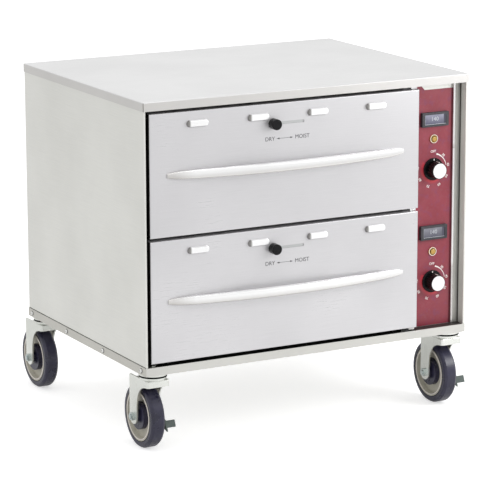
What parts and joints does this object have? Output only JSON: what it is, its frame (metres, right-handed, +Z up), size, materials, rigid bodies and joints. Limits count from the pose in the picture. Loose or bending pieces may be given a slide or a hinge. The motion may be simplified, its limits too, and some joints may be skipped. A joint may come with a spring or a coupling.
{
  "type": "two-drawer food warming cabinet",
  "caption": "Free-standing stainless food warmer with stacked full-width drawers, bowed handles, sliding vents, a dark red control strip and swivel casters.",
  "frame": {"origin": "on the floor, at the middle of the whole object's box", "axes": "+Z up, front towards -Y, +X to the right as seen from the front"},
  "size_m": [0.7702, 0.6816, 0.714],
  "materials": {
    "case_steel": "bright satin",
    "lid_steel": "bright satin",
    "drawer_steel": "bright satin, grain along the width",
    "handle_steel": "polished",
    "inner_steel": "plain mill finish",
    "pan_steel": "satin",
    "slide_zinc": "bright zinc",
    "gasket_black": "matte",
    "overlay_red": "semi-gloss",
    "bezel_dark": "satin",
    "window_grey": "glossy",
    "lamp_metal": "polished",
    "lamp_amber": "clear amber",
    "knob_black": "satin",
    "cap_silver": "bright",
    "electric_white": "matte",
    "element_sheath": "heat-darkened",
    "screw_steel": "bright",
    "gland_black": "satin",
    "caster_zinc": "bright zinc",
    "axle_zinc": "bright zinc",
    "core_cream": "satin",
    "tyre_dark": "satin",
    "pedal_dark": "dull"
  },
  "bodies": {
    "cabinet": {"top_cover": "lid_steel", "left_side_panel": "case_steel", "right_side_panel": "case_steel", "back_panel": "case_steel", "base_pan": "case_steel", "front_frame": "inner_steel", "front_gasket": "gasket_black", "bay_liners": "inner_steel", "control_panel": "case_steel", "control_overlay": "overlay_red", "display_bezels": "bezel_dark", "display_windows": "window_grey", "lamp_bezels": "lamp_metal", "lamp_lenses": "lamp_amber", "thermostats": "electric_white", "fixed_rails": "slide_zinc", "heating_elements": "element_sheath", "case_fasteners": "screw_steel", "cable_gland": "gland_black", "caster_stems": "caster_zinc"},
    "lower_drawer": {"lower_drawer_front": "drawer_steel", "lower_front_liner": "inner_steel", "lower_handle": "handle_steel", "lower_pan_frame": "inner_steel", "lower_food_pan": "pan_steel", "lower_drawer_rails": "slide_zinc"},
    "lower_slide_middle": {"lower_middle_rails": "slide_zinc"},
    "lower_vent": {"lower_vent_knob": "knob_black", "lower_vent_shutter": "inner_steel"},
    "upper_drawer": {"upper_drawer_front": "drawer_steel", "upper_front_liner": "inner_steel", "upper_handle": "handle_steel", "upper_pan_frame": "inner_steel", "upper_food_pan": "pan_steel", "upper_drawer_rails": "slide_zinc"},
    "upper_slide_middle": {"upper_middle_rails": "slide_zinc"},
    "upper_vent": {"upper_vent_knob": "knob_black", "upper_vent_shutter": "inner_steel"},
    "upper_dial": {"upper_control_knob": "knob_black", "upper_knob_cap": "cap_silver"},
    "lower_dial": {"lower_control_knob": "knob_black", "lower_knob_cap": "cap_silver"},
    "front_left_swivel": {"front_left_fork": "caster_zinc", "front_left_axle": "axle_zinc"},
    "front_left_wheel": {"front_left_wheel_core": "core_cream", "front_left_tyre": "tyre_dark"},
    "front_left_brake": {"front_left_brake_pedal": "pedal_dark"},
    "front_right_swivel": {"front_right_fork": "caster_zinc", "front_right_axle": "axle_zinc"},
    "front_right_wheel": {"front_right_wheel_core": "core_cream", "front_right_tyre": "tyre_dark"},
    "front_right_brake": {"front_right_brake_pedal": "pedal_dark"},
    "back_left_swivel": {"back_left_fork": "caster_zinc", "back_left_axle": "axle_zinc"},
    "back_left_wheel": {"back_left_wheel_core": "core_cream", "back_left_tyre": "tyre_dark"},
    "back_right_swivel": {"back_right_fork": "caster_zinc", "back_right_axle": "axle_zinc"},
    "back_right_wheel": {"back_right_wheel_core": "core_cream", "back_right_tyre": "tyre_dark"}
  },
  "joints": [
    {"name": "lower_drawer_slide", "type": "slide", "parent": "cabinet", "child": "lower_drawer", "axis": [0, -1, 0], "range_m": [0, 0.4]},
    {"name": "lower_middle_rail_slide", "type": "slide", "parent": "cabinet", "child": "lower_slide_middle", "axis": [0, -1, 0], "range_m": [0, 0.2]},
    {"name": "lower_vent_slide", "type": "slide", "parent": "lower_drawer", "child": "lower_vent", "axis": [1, 0, 0], "range_m": [0, 0.067]},
    {"name": "upper_drawer_slide", "type": "slide", "parent": "cabinet", "child": "upper_drawer", "axis": [0, -1, 0], "range_m": [0, 0.4]},
    {"name": "upper_middle_rail_slide", "type": "slide", "parent": "cabinet", "child": "upper_slide_middle", "axis": [0, -1, 0], "range_m": [0, 0.2]},
    {"name": "upper_vent_slide", "type": "slide", "parent": "upper_drawer", "child": "upper_vent", "axis": [1, 0, 0], "range_m": [0, 0.067]},
    {"name": "upper_dial_turn", "type": "hinge", "parent": "cabinet", "child": "upper_dial", "pos_m": [0.29935, -0.28375, 0.515], "axis": [0, 1, 0], "range_deg": [0, 300]},
    {"name": "lower_dial_turn", "type": "hinge", "parent": "cabinet", "child": "lower_dial", "pos_m": [0.29935, -0.28375, 0.276], "axis": [0, 1, 0], "range_deg": [0, 300]},
    {"name": "front_left_swivel_turn", "type": "hinge", "parent": "cabinet", "child": "front_left_swivel", "pos_m": [-0.35165, -0.28075, 0.1545], "axis": [0, 0, 1], "continuous": true},
    {"name": "front_left_wheel_spin", "type": "hinge", "parent": "front_left_swivel", "child": "front_left_wheel", "pos_m": [-0.35165, -0.24075, 0.0665], "axis": [1, 0, 0], "continuous": true},
    {"name": "front_left_brake_press", "type": "hinge", "parent": "front_left_swivel", "child": "front_left_brake", "pos_m": [-0.35165, -0.24075, 0.0665], "axis": [1, 0, 0], "range_deg": [0, 20]},
    {"name": "front_right_swivel_turn", "type": "hinge", "parent": "cabinet", "child": "front_right_swivel", "pos_m": [0.33735, -0.28075, 0.1545], "axis": [0, 0, 1], "continuous": true},
    {"name": "front_right_wheel_spin", "type": "hinge", "parent": "front_right_swivel", "child": "front_right_wheel", "pos_m": [0.33735, -0.24075, 0.0665], "axis": [1, 0, 0], "continuous": true},
    {"name": "front_right_brake_press", "type": "hinge", "parent": "front_right_swivel", "child": "front_right_brake", "pos_m": [0.33735, -0.24075, 0.0665], "axis": [1, 0, 0], "range_deg": [0, 20]},
    {"name": "back_left_swivel_turn", "type": "hinge", "parent": "cabinet", "child": "back_left_swivel", "pos_m": [-0.35165, 0.23425, 0.1545], "axis": [0, 0, 1], "continuous": true},
    {"name": "back_left_wheel_spin", "type": "hinge", "parent": "back_left_swivel", "child": "back_left_wheel", "pos_m": [-0.35165, 0.27425, 0.0665], "axis": [1, 0, 0], "continuous": true},
    {"name": "back_right_swivel_turn", "type": "hinge", "parent": "cabinet", "child": "back_right_swivel", "pos_m": [0.33735, 0.23425, 0.1545], "axis": [0, 0, 1], "continuous": true},
    {"name": "back_right_wheel_spin", "type": "hinge", "parent": "back_right_swivel", "child": "back_right_wheel", "pos_m": [0.33735, 0.27425, 0.0665], "axis": [1, 0, 0], "continuous": true}
  ],
  "couplings": [
    {"joint": "lower_middle_rail_slide", "follows": "lower_drawer_slide", "ratio": 0.5},
    {"joint": "upper_middle_rail_slide", "follows": "upper_drawer_slide", "ratio": 0.5}
  ]
}
